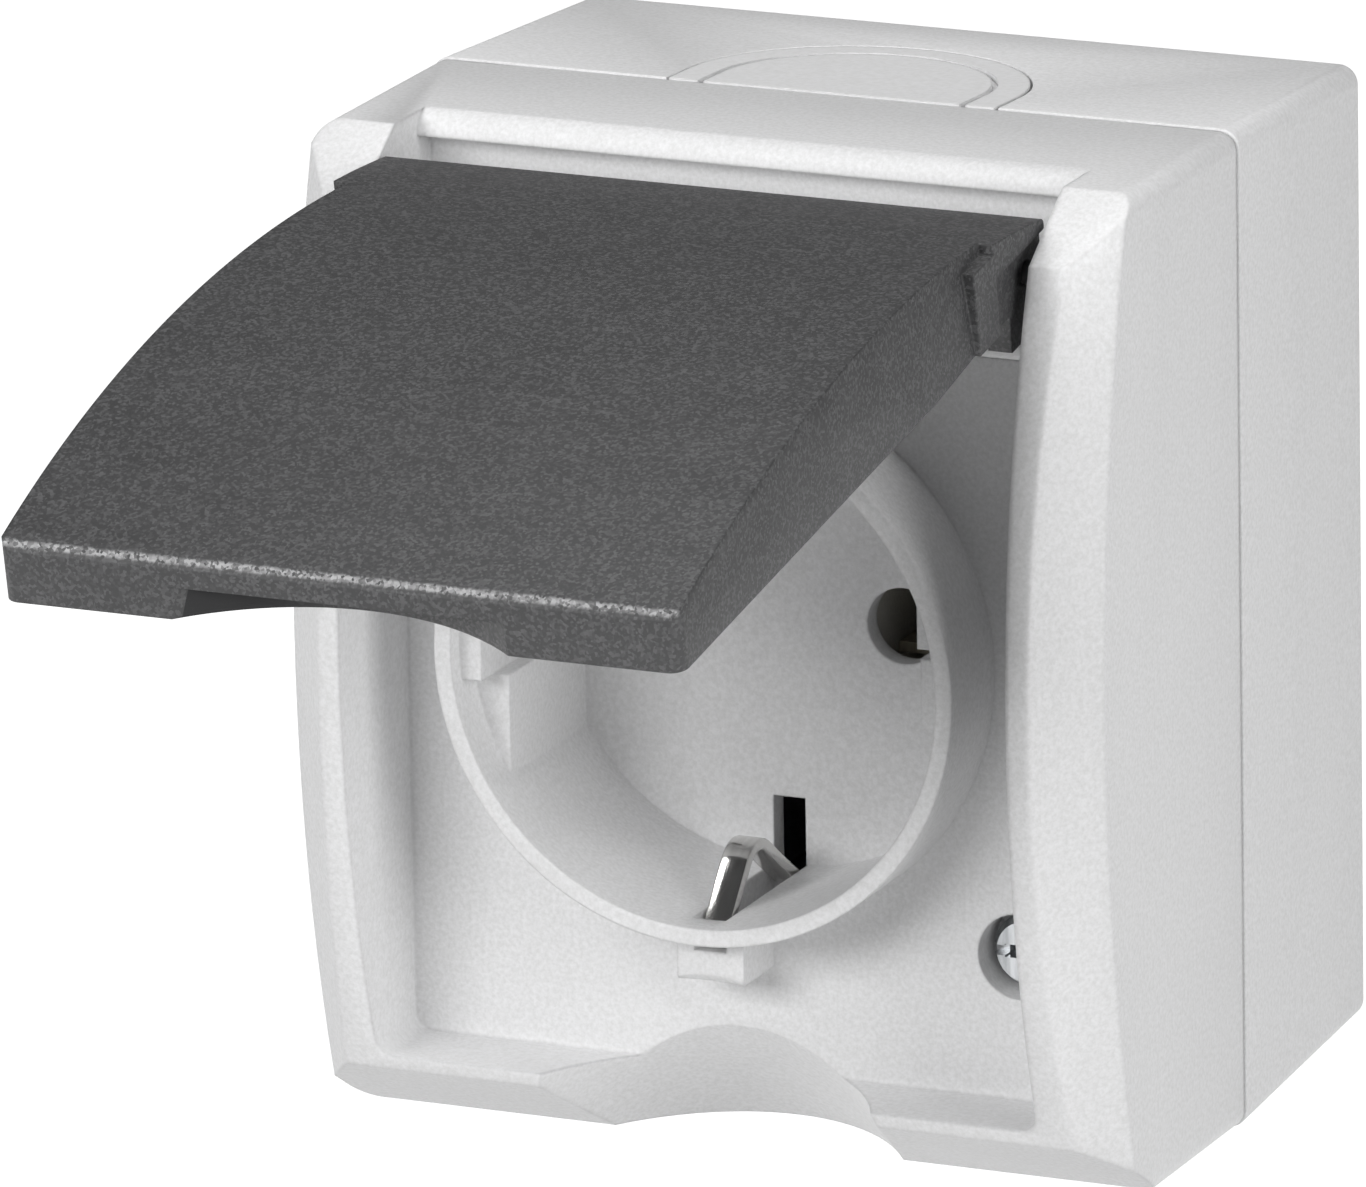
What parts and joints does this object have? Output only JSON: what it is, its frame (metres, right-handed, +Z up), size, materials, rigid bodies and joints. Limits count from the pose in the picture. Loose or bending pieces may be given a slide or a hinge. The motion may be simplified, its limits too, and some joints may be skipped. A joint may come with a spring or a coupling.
{
  "type": "outdoor weatherproof socket",
  "caption": "Surface-mounted weatherproof socket outlet with a round earthed plug well, a hinged lid and knock-out cable entries.",
  "frame": {"origin": "centre of the flat wall face at the back of the housing", "axes": "+Y out of the back towards the wall, +Z up, +X to the right seen from the front"},
  "size_m": [0.0654, 0.1128, 0.077],
  "materials": {
    "housing_plastic": "satin moulded",
    "entry_plastic": "satin moulded",
    "cover_plastic": "satin moulded",
    "lid_plastic": "fine-grained moulded",
    "seal_rubber": "matt",
    "zinc_steel": "zinc-plated",
    "pin_plastic": "moulded",
    "carrier_plastic": "moulded",
    "contact_brass": "tin-flashed",
    "nickel_brass": "nickel-plated"
  },
  "bodies": {
    "housing": {"rear_housing": "housing_plastic", "cable_entry_top": "entry_plastic", "cable_entry_bottom": "entry_plastic", "housing_gasket": "seal_rubber", "front_cover": "cover_plastic", "cover_screw_lower": "zinc_steel", "cover_screw_upper": "zinc_steel", "hinge_pin_right": "pin_plastic", "hinge_pin_left": "pin_plastic", "contact_carrier": "carrier_plastic", "carrier_screw_right": "zinc_steel", "carrier_screw_left": "zinc_steel", "live_contact": "contact_brass", "neutral_contact": "contact_brass", "live_terminal": "contact_brass", "neutral_terminal": "contact_brass", "terminal_screw_live": "zinc_steel", "terminal_screw_neutral": "zinc_steel", "earth_strap": "nickel_brass", "earth_terminal": "contact_brass", "terminal_screw_earth": "zinc_steel"},
    "lid": {"lid": "lid_plastic", "lid_gasket": "seal_rubber"}
  },
  "joints": [
    {"name": "lid_hinge", "type": "hinge", "parent": "housing", "child": "lid", "pos_m": [0, -0.04914, 0.033], "axis": [-1, 0, 0], "range_deg": [-80, 15]}
  ]
}
